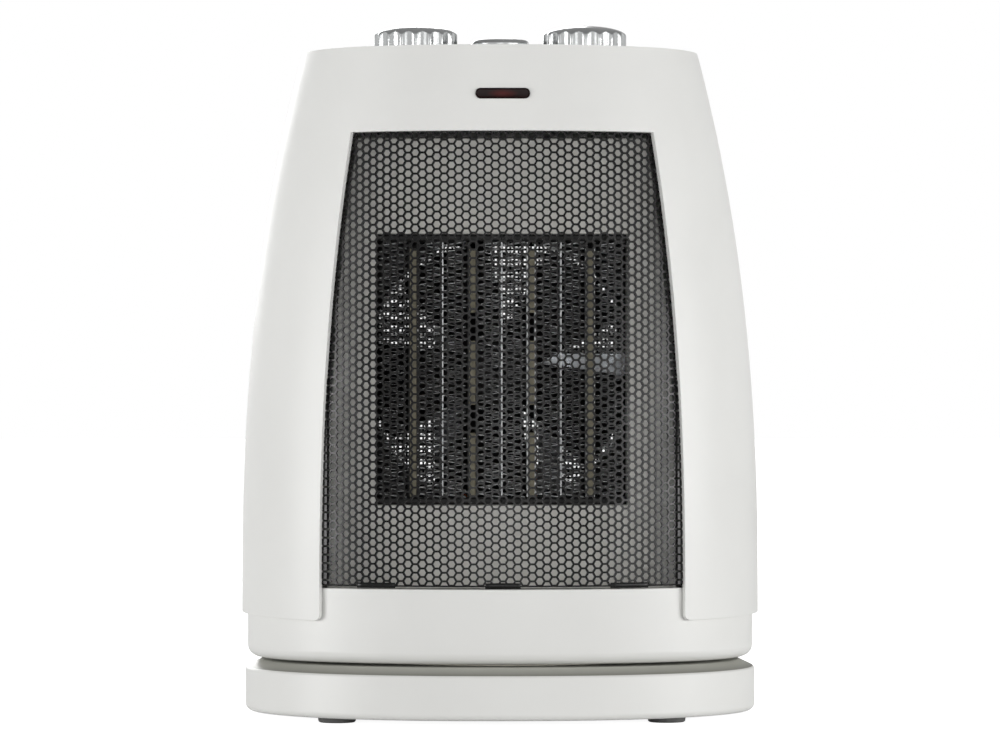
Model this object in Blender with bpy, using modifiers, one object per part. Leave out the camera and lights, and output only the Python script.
"""Ceramic space heater on a swinging base, modelled as its separate pieces.

Units are metres and +Z is up. The air outlet faces -Y, and the origin is on the
floor under the middle of the base. Pieces that touch on the real heater keep GAP.
"""

import math

import bmesh
import bpy
from mathutils import Matrix

MM = 0.001

# Driving dimensions -------------------------------------------------------------
GAP = 0.3 * MM

# Head: an oval tower that narrows towards the top.
HEAD_HALF_WIDTH = 96.7 * MM
HEAD_HALF_DEPTH = 72.0 * MM
HEAD_TOP = 247.3 * MM
WIDTH_TAPER = 22.7 * MM
DEPTH_TAPER = 8.5 * MM
TAPER_START = 42.7 * MM
WIDTH_POWER = 2.4
DEPTH_POWER = 2.0
OVAL_POWER = 2.25
SKIN_WALL = 1.8 * MM
SKIN_BOTTOM = 39.0 * MM
SHELL_SPLIT_Y = 6.0 * MM
PANEL_DROP = 1.2 * MM
PANEL_WALL = 2.5 * MM

# Outlet window and the grille behind it.
WING_WIDTH = 30.0 * MM
WINDOW_BOTTOM = 49.9 * MM
WINDOW_TOP_MARGIN = 31.4 * MM
WINDOW_TAPER_SHARE = 0.75
GRILLE_WALL = 1.0 * MM
GRILLE_MARGIN = 3.0 * MM

# Lower housing: the pan that carries the head.
PAN_BOTTOM = 22.3 * MM
PAN_WALL = 2.0 * MM
PAN_FLOOR = 2.5 * MM
PAN_LIP = 7.0 * MM
PAN_TURN_RISE = 4.2 * MM
PAN_TURN_IN = 4.4 * MM

# Base.
BASE_INSET = 1.3 * MM
BASE_HALF_DEPTH = 75.0 * MM
BASE_BOTTOM = 2.1 * MM
BASE_RIM = 18.6 * MM
BASE_TOP = 21.3 * MM
BASE_SLOPE_RUN = 6.6 * MM
BASE_WALL = 3.0 * MM
BASE_TOP_WALL = 2.2 * MM
BASE_PLATE_WALL = 2.5 * MM
BASE_OPENING_RADIUS = 54.0 * MM
BASE_CORNER_IN = 1.5 * MM
BASE_CORNER_TURN = (1.2 * MM, 0.4 * MM)
BASE_CORNER_TOP = 3.2 * MM
BASE_RIM_ROUND = 0.8 * MM
SCREW_TIP_LENGTH = 3.0 * MM
FOOT_RADIUS = 7.0 * MM
FOOT_FROM_SIDE = 35.0 * MM
FOOT_DRAFT = 0.93
FOOT_FROM_FRONT = 30.0 * MM
BASE_SCREW_FROM_SIDE = 25.0 * MM
BASE_SCREW_FROM_FRONT = 47.0 * MM

# Swing drive.
POST_RADIUS = 8.0 * MM
POST_BORE_RADIUS = 2.0 * MM
POST_SHOULDER = (1.8 * MM, 2.5 * MM)
POST_WASHER_WALL = 1.5 * MM
POST_WASHER_REACH = 4.0 * MM
POST_SCREW_LENGTH = 14.0 * MM
BASE_SCREW_LENGTH = 8.0 * MM
SHELL_SCREW_LENGTH = 16.0 * MM
SWING_ARM = 32.0 * MM
CRANK_THROW = 16.0 * MM
CRANK_RADIUS = 19.5 * MM
CRANK_WALL = 3.0 * MM
CRANK_PIN_RADIUS = 2.5 * MM
CRANK_PIN_LENGTH = 5.6 * MM
CRANK_SHAFT_RADIUS = 3.5 * MM
CRANK_SHAFT_ENTRY = 6.0 * MM
RAIL_HEIGHT = 3.6 * MM
RAIL_WALL = 3.0 * MM
RAIL_CLEARANCE = 0.4 * MM
SWING_MOTOR_RADIUS = 24.0 * MM
SWING_MOTOR_HEIGHT = 15.0 * MM
SWING_MOTOR_OFFSET = 7.5 * MM
GLIDE_RING_INNER = 57.0 * MM
GLIDE_RING_OUTER = 62.5 * MM

# Heater block and the plate that frames it.
DUCT_WIDTH = 92.0 * MM
DUCT_HEIGHT = 99.3 * MM
DUCT_BELOW_WINDOW_CENTRE = 3.7 * MM
DUCT_PLATE_SETBACK = 25.5 * MM
DUCT_PLATE_WALL = 1.5 * MM
DUCT_PLATE_SIDE_GAP = 2.7 * MM
DUCT_PLATE_TOP_GAP = 2.0 * MM
DUCT_PLATE_BOTTOM_DROP = 1.0 * MM
DUCT_DEPTH = 21.0 * MM
HEATER_FRAME_HEIGHT = 2.2 * MM
HEATER_DEPTH = 15.0 * MM
PTC_BAR_COUNT = 4
PTC_BAR_PITCH = 21.7 * MM
PTC_BAR_WIDTH = 3.4 * MM

# Fan and its motor.
FAN_RADIUS = 48.5 * MM
FAN_BLADES = 5
FIRST_BLADE = math.radians(8.0)
FAN_HUB_RADIUS = 15.0 * MM
FAN_HUB_LENGTH = 20.0 * MM
BLADE_PITCH = math.radians(28.0)
BLADE_CHORD = 44.0 * MM
BLADE_WALL = 1.6 * MM
SHROUD_CLEARANCE = 2.0 * MM
SHROUD_WALL = 1.5 * MM
SHROUD_LENGTH = 32.0 * MM
MOTOR_SHAFT_RADIUS = 2.5 * MM
ROTOR_RADIUS = 9.7 * MM
STATOR_LENGTH = 16.0 * MM
STATOR_BEHIND_SHROUD = 8.0 * MM
STATOR_HALF_WIDTH = 24.0 * MM
COIL_DROP = 43.0 * MM
COIL_WALL = 6.0 * MM
STATOR_LEG_HALF = 5.0 * MM
STATOR_SIDE_WALL = 9.0 * MM
STATOR_ABOVE_ROTOR = 8.0 * MM
STATOR_BELOW_ROTOR = 6.0 * MM
ROTOR_CLEARANCE = 0.5 * MM
MOTOR_STRAP_HALF = 6.0 * MM
MOTOR_STRAP_WALL = 1.5 * MM
HUB_EDGE = 2.0 * MM
BLADE_ROOT_INSET = 3.0 * MM
SHROUD_FLANGE_REACH = 6.0 * MM
SHROUD_FLANGE_WALL = 2.0 * MM

# Controls.
KNOB_SPACING = 63.4 * MM
KNOB_RADIUS = 15.8 * MM
KNOB_TOP = 10.9 * MM
KNOB_DOME = 4.0 * MM
KNOB_LIFT = 0.5 * MM
KNOB_SHAFT_RADIUS = 3.0 * MM
BUTTON_RADIUS = 10.9 * MM
BUTTON_TOP = 5.7 * MM
BUTTON_TRAVEL = 3.0 * MM
SWITCH_SIZE = 28.0 * MM
SWITCH_HEIGHT = 16.0 * MM
LENS_WIDTH = 20.5 * MM
LENS_HEIGHT = 4.5 * MM
LENS_DROP = 17.9 * MM
LENS_DEPTH = 5.0 * MM
LENS_RECESS = 0.4 * MM
LAMP_RADIUS = 1.9 * MM
LAMP_LENGTH = 14.0 * MM
LAMP_BEHIND_LENS = 2.5 * MM
PANEL_EDGE_GAP = 0.2 * MM
KNOB_BORE_GAP = 0.6 * MM
KNOB_SHAFT_DROP = 9.0 * MM
KNOB_SHAFT_SETBACK = 3.0 * MM
BUTTON_FLANGE_REACH = 1.6 * MM
BUTTON_FLANGE_WALL = 1.6 * MM
BUTTON_STEM_LENGTH = 3.1 * MM
SWING_SWITCH_HALF = 9.0 * MM
SWING_SWITCH_HEIGHT = 14.0 * MM
SPRING_WIRE_RADIUS = 0.45 * MM
SPRING_CLEARANCE = 2.2 * MM

# Back of the head.
INLET_SLOTS = 19
INLET_PITCH = 5.2 * MM
INLET_SLOT_HEIGHT = 3.2 * MM
INLET_HALF_WIDTH = 46.0 * MM
LOW_POST_FROM_SIDE = 20.7 * MM
LOW_POST_RISE = 19.0 * MM
HIGH_POST_FROM_SIDE = 18.4 * MM
HIGH_POST_DROP = 47.3 * MM
POST_SEAT_DEPTH = 6.0 * MM
GLAND_HEIGHT = 31.0 * MM
GLAND_RADIUS = 5.0 * MM
CORD_BORE_RADIUS = 3.4 * MM
GLAND_NOSE_REACH = 1.2 * MM
GLAND_FLANGE_REACH = 2.2 * MM
GLAND_FLANGE_WALL = 1.6 * MM
GLAND_NOSE_LENGTH = 2.6 * MM
GLAND_TAIL_LENGTH = 4.5 * MM

# Tilt switch.
TILT_X = -45.0 * MM
TILT_PIVOT_HEIGHT = 22.0 * MM
TILT_ARM = 13.0 * MM
TILT_WEIGHT_RADIUS = 5.0 * MM
TILT_EAR_INNER = 5.0 * MM
TILT_EAR_OUTER = 7.0 * MM
TILT_EAR_HALF_DEPTH = 8.0 * MM
TILT_EAR_ABOVE_PIVOT = 3.5 * MM
TILT_FLOOR_WALL = 2.0 * MM
TILT_PIN_RADIUS = 1.5 * MM

# Screws.
SCREW_RADIUS = 1.5 * MM
SCREW_HEAD_RADIUS = 2.9 * MM
SCREW_HEAD_WALL = 1.3 * MM
BOSS_RADIUS = 4.2 * MM

# Facets.
OVAL_STEPS = 40
CUT_PAST = 5.0 * MM
CUT_CLEAR = 10.0 * MM
CUT_FAR = 30.0 * MM
ROUND_STEPS = 24
SMALL_STEPS = 10

# Worked out from the sizes above --------------------------------------------------
PAN_INSET = SKIN_WALL + GAP
PAN_TOP = SKIN_BOTTOM + PAN_LIP
PAN_FLOOR_TOP = PAN_BOTTOM + PAN_FLOOR
PANEL_TOP = HEAD_TOP - PANEL_DROP
PANEL_BOTTOM = PANEL_TOP - PANEL_WALL
WINDOW_TOP = HEAD_TOP - WINDOW_TOP_MARGIN
DUCT_Z = (WINDOW_BOTTOM + WINDOW_TOP) / 2 - DUCT_BELOW_WINDOW_CENTRE
DUCT_PLATE_Y = -HEAD_HALF_DEPTH + DUCT_PLATE_SETBACK
DUCT_BACK_Y = DUCT_PLATE_Y + DUCT_PLATE_WALL + DUCT_DEPTH
SHROUD_FRONT_Y = DUCT_BACK_Y + GAP
SHROUD_BACK_Y = SHROUD_FRONT_Y + SHROUD_LENGTH
FAN_Y = (SHROUD_FRONT_Y + SHROUD_BACK_Y) / 2
STATOR_Y = SHROUD_BACK_Y + STATOR_BEHIND_SHROUD + STATOR_LENGTH / 2
BASE_HALF_WIDTH = HEAD_HALF_WIDTH - BASE_INSET
BASE_PLATE_TOP = BASE_BOTTOM + BASE_PLATE_WALL
RAIL_BOTTOM = BASE_PLATE_TOP + GAP
RAIL_TOP = RAIL_BOTTOM + RAIL_HEIGHT
KNOB_X = KNOB_SPACING / 2
SWITCH_TOP = PANEL_BOTTOM - 3.6 * MM

ALONG_X = (0, math.pi / 2, 0)
ALONG_Y = (-math.pi / 2, 0, 0)
ALONG_Z = (0, 0, 0)

# name: (red, green, blue, roughness, metallic)
MATERIAL_LOOKS = {
    "white_abs": (0.80, 0.80, 0.78, 0.42, 0.0),
    "black_mesh": (0.02, 0.02, 0.02, 0.35, 0.6),
    "grey_plate": (0.42, 0.41, 0.38, 0.45, 0.3),
    "silver_plating": (0.78, 0.78, 0.78, 0.22, 1.0),
    "dark_rubber": (0.13, 0.13, 0.13, 0.75, 0.0),
    "black_nylon": (0.03, 0.03, 0.03, 0.5, 0.0),
    "red_lens": (0.12, 0.01, 0.01, 0.1, 0.0),
    "fin_aluminium": (0.72, 0.72, 0.72, 0.35, 1.0),
    "ptc_ceramic": (0.45, 0.40, 0.30, 0.7, 0.0),
    "zinc_steel": (0.62, 0.63, 0.65, 0.3, 1.0),
    "core_steel": (0.25, 0.25, 0.26, 0.45, 0.9),
    "copper_coil": (0.55, 0.25, 0.12, 0.4, 0.8),
    "natural_nylon": (0.72, 0.70, 0.62, 0.5, 0.0),
    "switch_phenolic": (0.10, 0.06, 0.04, 0.55, 0.0),
    "lamp_glass": (0.85, 0.45, 0.30, 0.08, 0.0),
}


# Helpers ---------------------------------------------------------------------------
def clear_scene():
    for obj in list(bpy.data.objects):
        bpy.data.objects.remove(obj, do_unlink=True)


def new_collection(name):
    collection = bpy.data.collections.new(name)
    bpy.context.scene.collection.children.link(collection)
    return collection


def make_materials():
    made = {}
    for name, (red, green, blue, roughness, metallic) in MATERIAL_LOOKS.items():
        material = bpy.data.materials.new(name)
        material.use_nodes = True
        shader = material.node_tree.nodes["Principled BSDF"]
        shader.inputs["Base Color"].default_value = (red, green, blue, 1)
        shader.inputs["Roughness"].default_value = roughness
        shader.inputs["Metallic"].default_value = metallic
        made[name] = material
    return made


clear_scene()
PARTS = new_collection("ceramic_space_heater")
CUTTERS = new_collection("cutters")
MATERIALS = make_materials()


def add_object(name, bm, look, centre, turn):
    """A named piece when it is given a look, and a hidden cutter when the look is None."""
    mesh = bpy.data.meshes.new(name)
    bm.to_mesh(mesh)
    bm.free()
    mesh.shade_smooth()
    mesh.set_sharp_from_angle(angle=math.radians(35))
    obj = bpy.data.objects.new(name, mesh)
    obj.location = centre
    obj.rotation_euler = turn
    if look is None:
        obj.hide_render = True
        obj.display_type = "WIRE"
        CUTTERS.objects.link(obj)
    else:
        mesh.materials.append(MATERIALS[look])
        PARTS.objects.link(obj)
    return obj


def box(name, low, high, look=None):
    """A block between two opposite corners."""
    size = [top - bottom for bottom, top in zip(low, high)]
    centre = [(top + bottom) / 2 for bottom, top in zip(low, high)]
    bm = bmesh.new()
    bmesh.ops.create_cube(bm, size=1, matrix=Matrix.Diagonal((*size, 1)))
    return add_object(name, bm, look, centre, ALONG_Z)


def rod(name, radius, length, centre, turn=ALONG_Z, look=None, steps=ROUND_STEPS):
    """A solid cylinder about its centre."""
    bm = bmesh.new()
    bmesh.ops.create_cone(
        bm, cap_ends=True, segments=steps, radius1=radius, radius2=radius, depth=length
    )
    return add_object(name, bm, look, centre, turn)


def slot(name, width, height, depth, centre, look=None, end_steps=4):
    """A block along Y whose ends are rounded in the XZ plane."""
    bm = bmesh.new()
    bmesh.ops.create_cube(bm, size=1, matrix=Matrix.Diagonal((width, depth, height, 1)))
    ends = [edge for edge in bm.edges if abs(edge.verts[0].co.y - edge.verts[1].co.y) > depth / 2]
    bmesh.ops.bevel(
        bm,
        geom=ends,
        offset=height * 0.48,
        affect="EDGES",
        segments=end_steps,
        profile=0.5,
        material=-1,
    )
    return add_object(name, bm, look, centre, ALONG_Z)


def turned(name, profile, centre, turn=ALONG_Z, look=None, ring=False, steps=ROUND_STEPS):
    """A profile of (radius, height) points, down its outer side, turned about local Z."""
    bm = bmesh.new()
    points = [bm.verts.new((radius, 0, height)) for radius, height in profile]
    for start, end in zip(points, points[1:]):
        bm.edges.new((start, end))
    if ring:
        bm.edges.new((points[-1], points[0]))
    obj = add_object(name, bm, look, centre, turn)
    screw = obj.modifiers.new("turned", "SCREW")
    screw.steps = steps
    screw.render_steps = steps
    screw.use_merge_vertices = True
    screw.merge_threshold = 0.00001
    return obj


def tube(name, inner, outer, low, high, centre, turn=ALONG_Z, look=None, steps=ROUND_STEPS):
    """A ring of rectangular section between two heights."""
    profile = [(outer, high), (outer, low), (inner, low), (inner, high)]
    return turned(name, profile, centre, turn, look, ring=True, steps=steps)


def cut(piece, tool, operation="DIFFERENCE"):
    modifier = piece.modifiers.new(tool.name, "BOOLEAN")
    modifier.operation = operation
    modifier.object = tool


def join(piece, tool):
    cut(piece, tool, "UNION")


def joint_axis(name, location):
    """An empty on a joint's axis, which the pieces of the moving body hang from."""
    empty = bpy.data.objects.new(name, None)
    empty.location = location
    empty.empty_display_size = 0.02
    PARTS.objects.link(empty)
    return empty


def hang(piece, empty):
    """Parents a piece to a joint's empty and leaves it where it is."""
    piece.parent = empty
    piece.location = piece.location - empty.location


def oval_point(angle, half_width, half_depth):
    """The point of the head's oval section at an angle."""
    cosine, sine = math.cos(angle), math.sin(angle)
    power = 2 / OVAL_POWER
    return (
        math.copysign(abs(cosine) ** power, cosine) * half_width,
        math.copysign(abs(sine) ** power, sine) * half_depth,
    )


def oval_form(name, levels, sizes_at, look=None):
    """A closed solid with an oval section at each (height, inset) level."""
    bottom, top = levels[0][0], levels[-1][0]
    insets = dict(levels)
    bm = bmesh.new()
    bmesh.ops.create_cone(
        bm,
        cap_ends=True,
        segments=OVAL_STEPS,
        radius1=1,
        radius2=1,
        depth=top - bottom,
        matrix=Matrix.Translation((0, 0, (top + bottom) / 2)),
    )
    for height, _ in levels[1:-1]:
        bmesh.ops.bisect_plane(
            bm,
            geom=bm.verts[:] + bm.edges[:] + bm.faces[:],
            dist=1e-7,
            plane_co=(0, 0, height),
            plane_no=(0, 0, 1),
        )
    for vert in bm.verts:
        height = min(insets, key=lambda level: abs(level - vert.co.z))
        half_width, half_depth = sizes_at(height)
        inset = insets[height]
        angle = math.atan2(vert.co.y, vert.co.x)
        vert.co.x, vert.co.y = oval_point(angle, half_width - inset, half_depth - inset)
        vert.co.z = height
    return add_object(name, bm, look, (0, 0, 0), ALONG_Z)


def rise(height):
    """How far up the taper a height is, 0 at its start and 1 just under the top."""
    return max(0.0, (height - TAPER_START) / (HEAD_TOP - TAPER_START))


def head_sizes(height):
    share = rise(height)
    return (
        HEAD_HALF_WIDTH - WIDTH_TAPER * share**WIDTH_POWER,
        HEAD_HALF_DEPTH - DEPTH_TAPER * share**DEPTH_POWER,
    )


def base_sizes(_height):
    return BASE_HALF_WIDTH, BASE_HALF_DEPTH


def window_half_width(height):
    taper = WIDTH_TAPER * WINDOW_TAPER_SHARE
    return HEAD_HALF_WIDTH - WING_WIDTH - taper * rise(height) ** WIDTH_POWER


def head_form(name, inset, bottom, top, look=None):
    """The head's outline pulled in all round, between two heights."""
    spans = max(1, round((top - bottom) / (26 * MM)))
    heights = [bottom + (top - bottom) * step / spans for step in range(spans + 1)]
    return oval_form(name, [(height, inset) for height in heights], head_sizes, look)


def window_form(name, margin, bottom, top, front, back, look=None):
    """A prism along Y with the window's curved sides, grown by a margin."""
    spans = 7
    bm = bmesh.new()
    bmesh.ops.create_cube(bm, size=1)
    for step in range(1, spans):
        bmesh.ops.bisect_plane(
            bm,
            geom=bm.verts[:] + bm.edges[:] + bm.faces[:],
            dist=1e-7,
            plane_co=(0, 0, step / spans - 0.5),
            plane_no=(0, 0, 1),
        )
    for vert in bm.verts:
        height = bottom + (top - bottom) * (vert.co.z + 0.5)
        half_width = window_half_width(height) + margin
        vert.co.x = math.copysign(half_width, vert.co.x)
        vert.co.y = back if vert.co.y > 0 else front
        vert.co.z = height
    return add_object(name, bm, look, (0, 0, 0), ALONG_Z)


def screw_profile(length):
    """A screw with its head up, from the top of the head down to the tip."""
    return [
        (0, SCREW_HEAD_WALL),
        (SCREW_HEAD_RADIUS, SCREW_HEAD_WALL * 0.6),
        (SCREW_HEAD_RADIUS, 0),
        (SCREW_RADIUS, 0),
        (SCREW_RADIUS, -length),
        (0, -length - SCREW_RADIUS),
    ]


def dome(radius, top, height, steps=5):
    """Profile points of a low round top, from the axis down to its edge."""
    angles = [math.pi / 2 * step / steps for step in range(steps + 1)]
    return [(radius * math.sin(angle), top - height * (1 - math.cos(angle))) for angle in angles]


def quarter_turn(bottom, height, inset, run, steps=4):
    """(height, inset) levels of an edge that turns under in a quarter of an ellipse."""
    angles = [math.pi / 2 * step / steps for step in range(steps + 1)]
    return [
        (bottom + height * (1 - math.cos(angle)), inset + run * (1 - math.sin(angle)))
        for angle in angles
    ]


def corners(half_x, half_y):
    """The four (x, y) places that mirror one another, numbered from the front left."""
    return [(side * half_x, end * half_y) for end in (-1, 1) for side in (-1, 1)]


# Base --------------------------------------------------------------------------------
def make_base():
    cover = oval_form(
        "base_cover",
        [
            (BASE_BOTTOM, BASE_CORNER_IN),
            (BASE_BOTTOM + BASE_CORNER_TURN[0], BASE_CORNER_TURN[1]),
            (BASE_BOTTOM + BASE_CORNER_TOP, 0),
            (BASE_RIM - BASE_RIM_ROUND, 0),
            (BASE_RIM, BASE_RIM_ROUND),
            (BASE_TOP, BASE_SLOPE_RUN),
        ],
        base_sizes,
        "white_abs",
    )
    hollow = oval_form(
        "base_hollow",
        [
            (BASE_BOTTOM - CUT_PAST, BASE_WALL),
            (BASE_RIM - BASE_TOP_WALL, BASE_WALL),
            (BASE_TOP - BASE_TOP_WALL, BASE_SLOPE_RUN + BASE_TOP_WALL),
        ],
        base_sizes,
    )
    opening = rod("base_opening", BASE_OPENING_RADIUS, CUT_FAR, (0, 0, BASE_TOP), steps=OVAL_STEPS)
    cut(cover, hollow)
    cut(cover, opening)

    plate_inset = BASE_WALL + GAP
    plate = oval_form(
        "base_plate",
        [(BASE_BOTTOM, plate_inset), (BASE_PLATE_TOP, plate_inset)],
        base_sizes,
        "white_abs",
    )
    screw_places = corners(
        BASE_HALF_WIDTH - BASE_SCREW_FROM_SIDE, BASE_HALF_DEPTH - BASE_SCREW_FROM_FRONT
    )
    boss_bottom = BASE_PLATE_TOP + GAP
    boss_top = BASE_TOP - BASE_TOP_WALL * 0.5
    for number, (x, y) in enumerate(screw_places, 1):
        boss_length = boss_top - boss_bottom
        boss_place = (x, y, (boss_top + boss_bottom) / 2)
        boss = rod(f"base_boss_{number}", BOSS_RADIUS, boss_length, boss_place, steps=SMALL_STEPS)
        join(cover, boss)
        bore_place = (x, y, boss_bottom)
        bore = rod(
            f"base_boss_bore_{number}",
            SCREW_RADIUS + GAP,
            2 * (boss_length - SCREW_TIP_LENGTH),
            bore_place,
            steps=SMALL_STEPS,
        )
        cut(cover, bore)
        cut(plate, bore)
        turned(
            f"base_screw_{number}",
            screw_profile(BASE_SCREW_LENGTH),
            (x, y, BASE_BOTTOM - GAP),
            (math.pi, 0, 0),
            "zinc_steel",
            steps=SMALL_STEPS,
        )

    foot_places = corners(BASE_HALF_WIDTH - FOOT_FROM_SIDE, BASE_HALF_DEPTH - FOOT_FROM_FRONT)
    foot_height = BASE_BOTTOM - GAP
    for number, (x, y) in enumerate(foot_places, 1):
        turned(
            f"rubber_foot_{number}",
            [(0, foot_height), (FOOT_RADIUS, foot_height), (FOOT_RADIUS * FOOT_DRAFT, 0), (0, 0)],
            (x, y, 0),
            look="dark_rubber",
        )


def make_swing_pivot():
    """The post on the base plate, with the washer and screw that hold the head down."""
    post_bottom = BASE_PLATE_TOP + GAP
    post_top = PAN_FLOOR_TOP + GAP
    bore_radius = POST_BORE_RADIUS
    post = tube(
        "pivot_post",
        bore_radius,
        POST_RADIUS,
        post_bottom,
        post_top,
        (0, 0, 0),
        look="natural_nylon",
    )
    flange = tube(
        "pivot_post_flange",
        bore_radius,
        POST_RADIUS + POST_SHOULDER[0],
        post_bottom,
        post_bottom + POST_SHOULDER[1],
        (0, 0, 0),
    )
    join(post, flange)
    washer_bottom = post_top + GAP
    washer_top = washer_bottom + POST_WASHER_WALL
    tube(
        "pivot_washer",
        bore_radius,
        POST_RADIUS + POST_WASHER_REACH,
        washer_bottom,
        washer_top,
        (0, 0, 0),
        look="zinc_steel",
    )
    turned(
        "pivot_screw",
        screw_profile(POST_SCREW_LENGTH),
        (0, 0, washer_top + GAP),
        look="zinc_steel",
        steps=SMALL_STEPS,
    )

    reach = CRANK_THROW + CRANK_PIN_RADIUS
    slot_half = CRANK_PIN_RADIUS + GAP
    rail_half = slot_half + RAIL_WALL
    rail = box(
        "swing_slot_rail",
        (-rail_half, SWING_ARM - reach - RAIL_WALL, RAIL_BOTTOM),
        (rail_half, SWING_ARM + reach + RAIL_WALL, RAIL_TOP),
        "natural_nylon",
    )
    rail_slot = box(
        "rail_slot",
        (-slot_half, SWING_ARM - reach - GAP, RAIL_BOTTOM - CUT_PAST),
        (slot_half, SWING_ARM + reach + GAP, RAIL_TOP + CUT_PAST),
    )
    cut(rail, rail_slot)
    tube(
        "glide_ring",
        GLIDE_RING_INNER,
        GLIDE_RING_OUTER,
        BASE_TOP + GAP,
        PAN_BOTTOM - GAP,
        (0, 0, 0),
        look="natural_nylon",
        steps=OVAL_STEPS,
    )


def make_swing_drive():
    """The slow gear motor in the head and the crank under it."""
    motor_bottom = PAN_FLOOR_TOP + GAP
    motor_top = motor_bottom + SWING_MOTOR_HEIGHT
    motor = rod(
        "swing_motor",
        SWING_MOTOR_RADIUS,
        SWING_MOTOR_HEIGHT,
        (0, SWING_ARM + SWING_MOTOR_OFFSET, (motor_bottom + motor_top) / 2),
        look="zinc_steel",
    )
    shaft_top = motor_bottom + CRANK_SHAFT_ENTRY
    socket = rod(
        "swing_motor_socket",
        CRANK_SHAFT_RADIUS + GAP,
        2 * (CRANK_SHAFT_ENTRY + GAP),
        (0, SWING_ARM, motor_bottom),
        steps=SMALL_STEPS,
    )
    cut(motor, socket)

    axis = joint_axis("crank_axis", (0, SWING_ARM, RAIL_TOP))
    disc_bottom = RAIL_TOP + RAIL_CLEARANCE + CRANK_PIN_LENGTH
    disc_top = disc_bottom + CRANK_WALL
    crank = rod(
        "swing_crank",
        CRANK_RADIUS,
        CRANK_WALL,
        (0, SWING_ARM, (disc_bottom + disc_top) / 2),
        look="natural_nylon",
    )
    hub_bottom = disc_top - CRANK_WALL / 2
    shaft = rod(
        "crank_shaft_blank",
        CRANK_SHAFT_RADIUS,
        shaft_top - hub_bottom,
        (0, SWING_ARM, (shaft_top + hub_bottom) / 2),
        steps=SMALL_STEPS,
    )
    pin_bottom = RAIL_TOP + RAIL_CLEARANCE
    pin = rod(
        "crank_pin_blank",
        CRANK_PIN_RADIUS,
        hub_bottom - pin_bottom,
        (0, SWING_ARM + CRANK_THROW, (hub_bottom + pin_bottom) / 2),
        steps=SMALL_STEPS,
    )
    join(crank, shaft)
    join(crank, pin)
    hang(crank, axis)


# Casing ---------------------------------------------------------------------------------
def make_lower_housing():
    pan = oval_form(
        "lower_housing",
        [
            *quarter_turn(PAN_BOTTOM, PAN_TURN_RISE, PAN_INSET, PAN_TURN_IN),
            (WINDOW_BOTTOM - GAP, PAN_INSET),
        ],
        head_sizes,
        "white_abs",
    )
    hollow = oval_form(
        "pan_hollow",
        [
            (PAN_FLOOR_TOP, PAN_INSET + PAN_WALL + PAN_TURN_IN * 0.4),
            (PAN_FLOOR_TOP + PAN_TURN_RISE, PAN_INSET + PAN_WALL),
            (WINDOW_BOTTOM + CUT_CLEAR, PAN_INSET + PAN_WALL),
        ],
        head_sizes,
    )
    far = HEAD_HALF_WIDTH + CUT_FAR
    strip_half = window_half_width(WINDOW_BOTTOM) - GAP
    strip_back = -HEAD_HALF_DEPTH * 0.62
    above = WINDOW_BOTTOM + 12 * MM
    behind = box("pan_cut_behind", (-far, strip_back, PAN_TOP), (far, far, above))
    cut(pan, hollow)
    cut(pan, behind)
    for side, name in ((-1, "left"), (1, "right")):
        near_x, far_x = sorted((side * strip_half, side * far))
        trim = box(
            f"pan_cut_{name}", (near_x, -far, PAN_TOP), (far_x, strip_back + 1 * MM, above)
        )
        cut(pan, trim)
    through = CUT_FAR
    cut(pan, rod("pan_pivot_hole", POST_RADIUS + GAP, through, (0, 0, PAN_BOTTOM)))
    cut(
        pan,
        rod(
            "pan_crank_hole",
            CRANK_SHAFT_RADIUS + 1.5 * MM,
            through,
            (0, SWING_ARM, PAN_BOTTOM),
            steps=SMALL_STEPS,
        ),
    )
    gland_hole = rod(
        "pan_gland_hole",
        GLAND_RADIUS + GAP,
        through,
        (0, HEAD_HALF_DEPTH, GLAND_HEIGHT),
        ALONG_Y,
        steps=SMALL_STEPS,
    )
    cut(pan, gland_hole)

    wall_outside = HEAD_HALF_DEPTH - PAN_INSET
    turned(
        "cord_gland",
        [
            (CORD_BORE_RADIUS, GLAND_NOSE_LENGTH),
            (GLAND_RADIUS + GLAND_NOSE_REACH, GLAND_NOSE_LENGTH),
            (GLAND_RADIUS + GLAND_FLANGE_REACH, GLAND_FLANGE_WALL),
            (GLAND_RADIUS + GLAND_FLANGE_REACH, GAP),
            (GLAND_RADIUS, GAP),
            (GLAND_RADIUS, -GLAND_TAIL_LENGTH),
            (CORD_BORE_RADIUS, -GLAND_TAIL_LENGTH),
        ],
        (0, wall_outside, GLAND_HEIGHT),
        ALONG_Y,
        "black_nylon",
        ring=True,
    )


def post_places():
    """(x, z) of the four posts that screw the two shells together."""
    pairs = (
        (LOW_POST_FROM_SIDE, SKIN_BOTTOM + LOW_POST_RISE),
        (HIGH_POST_FROM_SIDE, HEAD_TOP - HIGH_POST_DROP),
    )
    return [
        (side * (head_sizes(height)[0] - from_side), height)
        for from_side, height in pairs
        for side in (-1, 1)
    ]


def make_post(name, x, z, start, end, core):
    """A post along Y from the split to the skin, trimmed to end inside the skin's wall."""
    centre = (x, (start + end) / 2, z)
    post = rod(name, BOSS_RADIUS, abs(end - start), centre, ALONG_Y, steps=SMALL_STEPS)
    cut(post, core, "INTERSECT")
    return post


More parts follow.
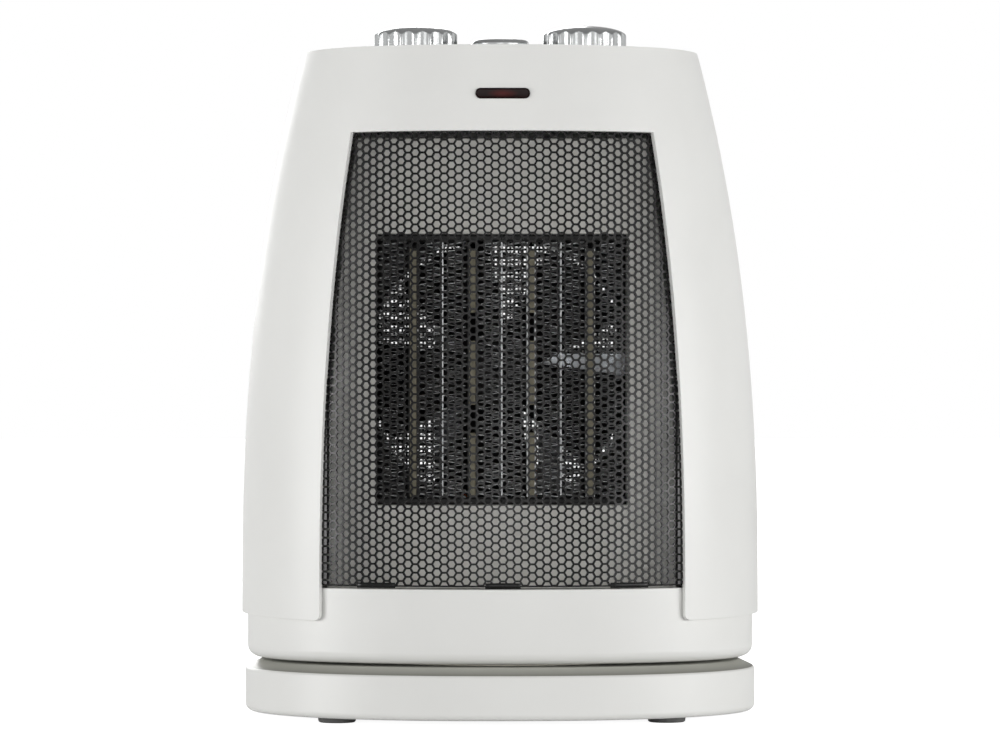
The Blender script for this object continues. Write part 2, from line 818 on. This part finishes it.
def make_shells():
    inside = head_form("head_inside", SKIN_WALL, SKIN_BOTTOM - CUT_PAST, HEAD_TOP + CUT_PAST)
    bezel = head_form("front_bezel", 0, SKIN_BOTTOM, HEAD_TOP, "white_abs")
    rear = head_form("rear_shell", 0, SKIN_BOTTOM, HEAD_TOP, "white_abs")
    far = HEAD_HALF_WIDTH + CUT_FAR
    low, high = SKIN_BOTTOM - 20 * MM, HEAD_TOP + 20 * MM
    rear_block = box("rear_half", (-far, SHELL_SPLIT_Y, low), (far, far, high))
    front_block = box("front_half", (-far, -far, low), (far, SHELL_SPLIT_Y + GAP, high))
    window = window_form(
        "window", 0, SKIN_BOTTOM - 8 * MM, WINDOW_TOP, -HEAD_HALF_DEPTH * 1.3, -HEAD_HALF_DEPTH * 0.5
    )
    cut(bezel, inside)
    cut(rear, inside)
    cut(bezel, rear_block)
    cut(rear, front_block)
    cut(bezel, window)

    lens_z = HEAD_TOP - LENS_DROP
    skin_y = -head_sizes(lens_z)[1]
    lens_hole = slot(
        "lens_hole",
        LENS_WIDTH + 2 * GAP,
        LENS_HEIGHT + 2 * GAP,
        24 * MM,
        (0, skin_y, lens_z),
    )
    cut(bezel, lens_hole)
    lens_depth = LENS_DEPTH
    slot(
        "indicator_lens",
        LENS_WIDTH,
        LENS_HEIGHT,
        lens_depth,
        (0, skin_y + lens_depth / 2 - LENS_RECESS, lens_z),
        "red_lens",
    )
    rod(
        "neon_lamp",
        LAMP_RADIUS,
        LAMP_LENGTH,
        (0, skin_y + lens_depth + LAMP_BEHIND_LENS, lens_z),
        ALONG_X,
        "lamp_glass",
        steps=SMALL_STEPS,
    )

    core = head_form("post_core", SKIN_WALL * 0.5, SKIN_BOTTOM, HEAD_TOP)
    rear_start = SHELL_SPLIT_Y + GAP
    seat_y = rear_start + POST_SEAT_DEPTH
    recess_length = HEAD_HALF_DEPTH * 1.5
    for number, (x, z) in enumerate(post_places(), 1):
        front_post = make_post(
            f"front_post_{number}", x, z, SHELL_SPLIT_Y, -HEAD_HALF_DEPTH, core
        )
        rear_post = make_post(f"rear_post_{number}", x, z, rear_start, HEAD_HALF_DEPTH, core)
        join(bezel, front_post)
        join(rear, rear_post)
        bore = rod(
            f"post_bore_{number}",
            SCREW_RADIUS + GAP,
            36 * MM,
            (x, SHELL_SPLIT_Y, z),
            ALONG_Y,
            steps=SMALL_STEPS,
        )
        recess = rod(
            f"post_recess_{number}",
            SCREW_HEAD_RADIUS + GAP,
            recess_length,
            (x, seat_y + recess_length / 2, z),
            ALONG_Y,
            steps=SMALL_STEPS,
        )
        cut(bezel, bore)
        cut(rear, bore)
        cut(rear, recess)
        turned(
            f"housing_screw_{number}",
            screw_profile(SHELL_SCREW_LENGTH),
            (x, seat_y + GAP, z),
            ALONG_Y,
            "zinc_steel",
            steps=SMALL_STEPS,
        )

    first_slot = DUCT_Z - INLET_PITCH * (INLET_SLOTS - 1) / 2
    inlet = slot(
        "inlet_slots",
        2 * INLET_HALF_WIDTH,
        INLET_SLOT_HEIGHT,
        60 * MM,
        (0, HEAD_HALF_DEPTH, first_slot),
        end_steps=1,
    )
    repeat = inlet.modifiers.new("repeat", "ARRAY")
    repeat.count = INLET_SLOTS
    repeat.use_relative_offset = False
    repeat.use_constant_offset = True
    repeat.constant_offset_displace = (0, 0, INLET_PITCH)
    cut(rear, inlet)


def make_grille():
    grille = head_form(
        "front_grille", SKIN_WALL + GAP, WINDOW_BOTTOM, WINDOW_TOP + GRILLE_MARGIN, "black_mesh"
    )
    hollow = head_form(
        "grille_hollow",
        SKIN_WALL + GAP + GRILLE_WALL,
        WINDOW_BOTTOM - CUT_PAST,
        WINDOW_TOP + GRILLE_MARGIN + CUT_PAST,
    )
    keep = window_form(
        "grille_outline",
        GRILLE_MARGIN,
        WINDOW_BOTTOM - 3 * MM,
        WINDOW_TOP + GRILLE_MARGIN + 3 * MM,
        -HEAD_HALF_DEPTH * 1.3,
        -HEAD_HALF_DEPTH * 0.4,
    )
    cut(grille, hollow)
    cut(grille, keep, "INTERSECT")


def make_control_panel():
    inset = SKIN_WALL + GAP
    panel = oval_form(
        "control_panel",
        [(PANEL_BOTTOM, inset + PANEL_EDGE_GAP), (PANEL_TOP, inset + PANEL_EDGE_GAP)],
        lambda _height: head_sizes(HEAD_TOP),
        "white_abs",
    )
    through = 20 * MM
    for side, name in ((-1, "left"), (1, "right")):
        hole = rod(
            f"panel_hole_{name}",
            KNOB_SHAFT_RADIUS + KNOB_BORE_GAP,
            through,
            (side * KNOB_X, 0, PANEL_TOP),
            steps=SMALL_STEPS,
        )
        cut(panel, hole)
    cut(panel, rod("panel_button_hole", BUTTON_RADIUS + GAP, through, (0, 0, PANEL_TOP)))


# Controls ----------------------------------------------------------------------------
def make_knob(name, switch_name, x):
    """A turned knob on a shaft, and the switch or thermostat that the shaft turns."""
    knob_bottom = PANEL_TOP + KNOB_LIFT
    knob_top = HEAD_TOP + KNOB_TOP
    shaft_bottom = SWITCH_TOP - KNOB_SHAFT_DROP
    shaft_top = knob_top - KNOB_SHAFT_SETBACK
    axis = joint_axis(f"{name}_axis", (x, 0, knob_bottom))
    knob = turned(
        f"{name}_knob",
        [
            *dome(KNOB_RADIUS, knob_top, KNOB_DOME),
            (KNOB_RADIUS, knob_bottom),
            (0, knob_bottom),
        ],
        (x, 0, 0),
        look="silver_plating",
        steps=32,
    )
    bore_length = 2 * (shaft_top + GAP - knob_bottom)
    bore = rod(
        f"{name}_bore", KNOB_SHAFT_RADIUS + GAP, bore_length, (x, 0, knob_bottom), steps=SMALL_STEPS
    )
    cut(knob, bore)
    shaft = rod(
        f"{name}_shaft",
        KNOB_SHAFT_RADIUS,
        shaft_top - shaft_bottom,
        (x, 0, (shaft_top + shaft_bottom) / 2),
        look="natural_nylon",
        steps=SMALL_STEPS,
    )
    switch = box(
        switch_name,
        (x - SWITCH_SIZE / 2, -SWITCH_SIZE / 2, SWITCH_TOP - SWITCH_HEIGHT),
        (x + SWITCH_SIZE / 2, SWITCH_SIZE / 2, SWITCH_TOP),
        "switch_phenolic",
    )
    socket_length = 2 * (SWITCH_TOP - shaft_bottom + GAP)
    socket = rod(
        f"{name}_socket",
        KNOB_SHAFT_RADIUS + GAP,
        socket_length,
        (x, 0, SWITCH_TOP),
        steps=SMALL_STEPS,
    )
    cut(switch, socket)
    hang(knob, axis)
    hang(shaft, axis)


def make_button():
    flange_top = PANEL_BOTTOM - GAP
    flange_bottom = flange_top - BUTTON_FLANGE_WALL
    stem_bottom = flange_bottom - BUTTON_STEM_LENGTH
    top = HEAD_TOP + BUTTON_TOP
    axis = joint_axis("swing_button_axis", (0, 0, PANEL_TOP))
    button = turned(
        "swing_button",
        [
            (0, top),
            (BUTTON_RADIUS - 3.5 * MM, top - 0.4 * MM),
            (BUTTON_RADIUS - 1.0 * MM, top - 1.3 * MM),
            (BUTTON_RADIUS, top - 2.6 * MM),
            (BUTTON_RADIUS, flange_top),
            (BUTTON_RADIUS + BUTTON_FLANGE_REACH, flange_top),
            (BUTTON_RADIUS + BUTTON_FLANGE_REACH, flange_bottom),
            (KNOB_SHAFT_RADIUS, flange_bottom),
            (KNOB_SHAFT_RADIUS, stem_bottom),
            (0, stem_bottom),
        ],
        (0, 0, 0),
        look="silver_plating",
    )
    hang(button, axis)
    switch_top = stem_bottom - BUTTON_TRAVEL - GAP
    box(
        "swing_switch",
        (-SWING_SWITCH_HALF, -SWING_SWITCH_HALF, switch_top - SWING_SWITCH_HEIGHT),
        (SWING_SWITCH_HALF, SWING_SWITCH_HALF, switch_top),
        "switch_phenolic",
    )
    make_button_spring(switch_top + GAP, flange_bottom - GAP)


def make_button_spring(bottom, top):
    """An open coil spring round the button's stem."""
    wire_radius = SPRING_WIRE_RADIUS
    coil_radius = KNOB_SHAFT_RADIUS + SPRING_CLEARANCE
    turns = 3
    steps_per_turn = 12
    curve = bpy.data.curves.new("button_spring", "CURVE")
    curve.dimensions = "3D"
    curve.bevel_depth = wire_radius
    curve.bevel_resolution = 1
    curve.use_fill_caps = True
    count = turns * steps_per_turn + 1
    spline = curve.splines.new("POLY")
    spline.points.add(count - 1)
    low, high = bottom + wire_radius, top - wire_radius
    for step, point in enumerate(spline.points):
        angle = 2 * math.pi * step / steps_per_turn
        height = low + (high - low) * step / (count - 1)
        point.co = (coil_radius * math.cos(angle), coil_radius * math.sin(angle), height, 1)
    curve.materials.append(MATERIALS["zinc_steel"])
    PARTS.objects.link(bpy.data.objects.new("button_spring", curve))


# Heater, fan and motor ----------------------------------------------------------------
def make_air_guide():
    """The plate behind the grille, with the square collar that holds the heater block."""
    plate = window_form(
        "air_guide",
        -DUCT_PLATE_SIDE_GAP,
        WINDOW_BOTTOM - DUCT_PLATE_BOTTOM_DROP,
        WINDOW_TOP - DUCT_PLATE_TOP_GAP,
        DUCT_PLATE_Y,
        DUCT_PLATE_Y + DUCT_PLATE_WALL,
        "grey_plate",
    )
    inside_grille = head_form(
        "air_guide_space",
        SKIN_WALL + GRILLE_WALL + 2 * GAP,
        WINDOW_BOTTOM - CUT_PAST,
        WINDOW_TOP + CUT_PAST,
    )
    cut(plate, inside_grille, "INTERSECT")
    half_width, half_height = DUCT_WIDTH / 2, DUCT_HEIGHT / 2
    wall = DUCT_PLATE_WALL
    collar = box(
        "duct_collar",
        (-half_width - wall, DUCT_PLATE_Y + DUCT_PLATE_WALL * 0.5, DUCT_Z - half_height - wall),
        (half_width + wall, DUCT_BACK_Y, DUCT_Z + half_height + wall),
    )
    opening = box(
        "duct_opening",
        (-half_width, DUCT_PLATE_Y - CUT_CLEAR, DUCT_Z - half_height),
        (half_width, DUCT_BACK_Y + CUT_CLEAR, DUCT_Z + half_height),
    )
    join(plate, collar)
    cut(plate, opening)
    cutout_bottom = DUCT_Z + half_height + wall + GAP
    cutout_front = DUCT_PLATE_Y + DUCT_PLATE_WALL + 3 * MM
    box(
        "thermal_cutout",
        (12 * MM, cutout_front, cutout_bottom),
        (30 * MM, cutout_front + 10 * MM, cutout_bottom + 6 * MM),
        "switch_phenolic",
    )


def make_heater_block():
    half_width = DUCT_WIDTH / 2 - GAP
    half_height = DUCT_HEIGHT / 2 - GAP
    front = DUCT_PLATE_Y + DUCT_PLATE_WALL + 1.5 * MM
    back = front + HEATER_DEPTH
    inner_half = half_height - HEATER_FRAME_HEIGHT
    box(
        "heater_frame_top",
        (-half_width, front - 1 * MM, DUCT_Z + inner_half),
        (half_width, back + 1 * MM, DUCT_Z + half_height),
        "black_nylon",
    )
    box(
        "heater_frame_bottom",
        (-half_width, front - 1 * MM, DUCT_Z - half_height),
        (half_width, back + 1 * MM, DUCT_Z - inner_half),
        "black_nylon",
    )
    low, high = DUCT_Z - inner_half + GAP, DUCT_Z + inner_half - GAP
    bar_places = [
        (number - (PTC_BAR_COUNT - 1) / 2) * PTC_BAR_PITCH for number in range(PTC_BAR_COUNT)
    ]
    for number, x in enumerate(bar_places, 1):
        box(
            f"ptc_bar_{number}",
            (x - PTC_BAR_WIDTH / 2, front + 1 * MM, low),
            (x + PTC_BAR_WIDTH / 2, back - 1 * MM, high),
            "ptc_ceramic",
        )
    edges = [-half_width - PTC_BAR_WIDTH / 2, *bar_places, half_width + PTC_BAR_WIDTH / 2]
    for number, (left, right) in enumerate(zip(edges, edges[1:]), 1):
        box(
            f"fin_pack_{number}",
            (left + PTC_BAR_WIDTH / 2 + GAP, front, low),
            (right - PTC_BAR_WIDTH / 2 - GAP, back, high),
            "fin_aluminium",
        )


def make_fan():
    shroud_radius = FAN_RADIUS + SHROUD_CLEARANCE
    shroud = tube(
        "fan_shroud",
        shroud_radius,
        shroud_radius + SHROUD_WALL,
        0,
        SHROUD_LENGTH,
        (0, SHROUD_FRONT_Y, DUCT_Z),
        ALONG_Y,
        "black_nylon",
        steps=OVAL_STEPS,
    )
    flange = tube(
        "shroud_flange",
        shroud_radius + SHROUD_WALL * 0.4,
        shroud_radius + SHROUD_FLANGE_REACH,
        GAP,
        GAP + SHROUD_FLANGE_WALL,
        (0, SHROUD_FRONT_Y, DUCT_Z),
        ALONG_Y,
        steps=OVAL_STEPS,
    )
    join(shroud, flange)

    centre = (0, FAN_Y, DUCT_Z)
    axis = joint_axis("fan_axis", centre)
    hub_half = FAN_HUB_LENGTH / 2
    hub = turned(
        "fan_impeller",
        [
            (0, hub_half),
            (FAN_HUB_RADIUS, hub_half),
            (FAN_HUB_RADIUS, -hub_half + HUB_EDGE),
            (FAN_HUB_RADIUS - HUB_EDGE, -hub_half),
            (0, -hub_half),
        ],
        centre,
        ALONG_Y,
        "black_nylon",
    )
    root = FAN_HUB_RADIUS - BLADE_ROOT_INSET
    length = FAN_RADIUS - root
    for number in range(FAN_BLADES):
        bm = bmesh.new()
        bmesh.ops.create_cube(bm, size=1, matrix=Matrix.Diagonal((BLADE_CHORD, length, BLADE_WALL, 1)))
        bmesh.ops.rotate(bm, verts=bm.verts, matrix=Matrix.Rotation(BLADE_PITCH, 3, "Y"))
        bmesh.ops.translate(bm, verts=bm.verts, vec=(0, root + length / 2, 0))
        for vert in bm.verts:
            if vert.co.y < root + length / 2:
                vert.co.x *= 0.45
                vert.co.z *= 0.8
        angle = 2 * math.pi * number / FAN_BLADES + FIRST_BLADE
        bmesh.ops.rotate(bm, verts=bm.verts, matrix=Matrix.Rotation(angle, 3, "Z"))
        join(hub, add_object(f"blade_{number + 1}", bm, None, centre, ALONG_Y))
    trim = tube(
        "blade_tip_trim",
        FAN_RADIUS,
        FAN_RADIUS + CUT_FAR,
        -CUT_FAR,
        CUT_FAR,
        centre,
        ALONG_Y,
        steps=OVAL_STEPS,
    )
    cut(hub, trim)
    shaft_front = FAN_Y - 4 * MM
    shaft_back = STATOR_Y + STATOR_LENGTH / 2 + 9 * MM
    shaft_bore = rod(
        "hub_bore",
        MOTOR_SHAFT_RADIUS + GAP,
        2 * CUT_FAR,
        (0, shaft_front - GAP + CUT_FAR, DUCT_Z),
        ALONG_Y,
        steps=SMALL_STEPS,
    )
    cut(hub, shaft_bore)
    shaft = rod(
        "motor_rotor",
        MOTOR_SHAFT_RADIUS,
        shaft_back - shaft_front,
        (0, (shaft_front + shaft_back) / 2, DUCT_Z),
        ALONG_Y,
        "core_steel",
        steps=SMALL_STEPS,
    )
    rotor = rod("rotor_blank", ROTOR_RADIUS, STATOR_LENGTH - 1 * MM, (0, STATOR_Y, DUCT_Z), ALONG_Y)
    join(shaft, rotor)
    hang(hub, axis)
    hang(shaft, axis)


def make_fan_motor():
    """A shaded-pole motor: a laminated frame, a coil on its lower leg and two bearing straps."""
    front, back = STATOR_Y - STATOR_LENGTH / 2, STATOR_Y + STATOR_LENGTH / 2
    leg_half = STATOR_LEG_HALF
    coil_z = DUCT_Z - COIL_DROP
    stator = box(
        "motor_stator",
        (-STATOR_HALF_WIDTH, front, coil_z - leg_half),
        (STATOR_HALF_WIDTH, back, DUCT_Z + ROTOR_RADIUS + STATOR_ABOVE_ROTOR),
        "core_steel",
    )
    far = CUT_CLEAR
    window_half = STATOR_HALF_WIDTH - STATOR_SIDE_WALL
    cut(
        stator,
        box(
            "stator_window",
            (-window_half, front - far, coil_z + leg_half),
            (window_half, back + far, DUCT_Z - ROTOR_RADIUS - STATOR_BELOW_ROTOR),
        ),
    )
    cut(
        stator,
        rod("stator_bore", ROTOR_RADIUS + ROTOR_CLEARANCE, 3 * far, (0, STATOR_Y, DUCT_Z), ALONG_Y),
    )
    coil_half = window_half - 1 * MM
    coil = box(
        "motor_coil",
        (-coil_half, front - COIL_WALL, coil_z - leg_half - COIL_WALL),
        (coil_half, back + COIL_WALL, coil_z + leg_half + COIL_WALL),
        "copper_coil",
    )
    cut(
        coil,
        box(
            "coil_window",
            (-coil_half - far, front - GAP, coil_z - leg_half - GAP),
            (coil_half + far, back + GAP, coil_z + leg_half + GAP),
        ),
    )
    strap_half = MOTOR_STRAP_HALF
    strap_wall = MOTOR_STRAP_WALL
    bore = rod(
        "strap_bore",
        MOTOR_SHAFT_RADIUS + GAP,
        8 * far,
        (0, STATOR_Y, DUCT_Z),
        ALONG_Y,
        steps=SMALL_STEPS,
    )
    front_reach = FAN_RADIUS + SHROUD_CLEARANCE + SHROUD_WALL
    front_y = SHROUD_BACK_Y + GAP
    straps = (
        ("motor_strap_front", front_reach, front_y, front_y + strap_wall, front - GAP),
        (
            "motor_strap_rear",
            STATOR_HALF_WIDTH,
            back + 4 * MM,
            back + 4 * MM + strap_wall,
            back + GAP,
        ),
    )
    for name, reach, start, end, foot in straps:
        strap = box(
            name,
            (-reach, start, DUCT_Z - strap_half),
            (reach, end, DUCT_Z + strap_half),
            "zinc_steel",
        )
        low_y, high_y = sorted((foot, (start + end) / 2))
        for side, label in ((-1, "left"), (1, "right")):
            near_x, far_x = sorted((side * 15 * MM, side * 22 * MM))
            leg = box(
                f"{name}_leg_{label}",
                (near_x, low_y, DUCT_Z - strap_half + 1 * MM),
                (far_x, high_y, DUCT_Z + strap_half - 1 * MM),
            )
            join(strap, leg)
        cut(strap, bore)


def make_tilt_switch():
    """A pendulum in a bracket on the pan floor, which cuts the power when the heater tips."""
    floor = PAN_FLOOR_TOP + GAP
    pivot_z = floor + TILT_PIVOT_HEIGHT
    ear_inner = TILT_EAR_INNER
    ear_outer = TILT_EAR_OUTER
    bracket = box(
        "tilt_bracket",
        (TILT_X - ear_outer, -TILT_EAR_HALF_DEPTH, floor),
        (TILT_X + ear_outer, TILT_EAR_HALF_DEPTH, pivot_z + TILT_EAR_ABOVE_PIVOT),
        "natural_nylon",
    )
    space = box(
        "tilt_space",
        (TILT_X - ear_inner, -20 * MM, floor + TILT_FLOOR_WALL),
        (TILT_X + ear_inner, 20 * MM, pivot_z + CUT_CLEAR),
    )
    cut(bracket, space)
    pin_radius = TILT_PIN_RADIUS
    pin_hole = rod(
        "tilt_pin_hole",
        pin_radius + GAP,
        30 * MM,
        (TILT_X, 0, pivot_z),
        ALONG_X,
        steps=SMALL_STEPS,
    )
    cut(bracket, pin_hole)
    axis = joint_axis("tilt_axis", (TILT_X, 0, pivot_z))
    weight = rod(
        "tilt_weight",
        TILT_WEIGHT_RADIUS,
        2 * ear_inner - 2 * MM,
        (TILT_X, 0, pivot_z - TILT_ARM),
        ALONG_X,
        "zinc_steel",
    )
    arm = box(
        "tilt_arm",
        (TILT_X - 1.5 * MM, -1 * MM, pivot_z - TILT_ARM),
        (TILT_X + 1.5 * MM, 1 * MM, pivot_z),
    )
    pin = rod(
        "tilt_pin",
        pin_radius,
        2 * ear_outer + 2 * MM,
        (TILT_X, 0, pivot_z),
        ALONG_X,
        steps=SMALL_STEPS,
    )
    join(weight, arm)
    join(weight, pin)
    hang(weight, axis)


make_base()
make_swing_pivot()
make_swing_drive()
make_lower_housing()
make_shells()
make_grille()
make_control_panel()
make_knob("function", "function_switch", -KNOB_X)
make_knob("thermostat", "thermostat_body", KNOB_X)
make_button()
make_air_guide()
make_heater_block()
make_fan()
make_fan_motor()
make_tilt_switch()
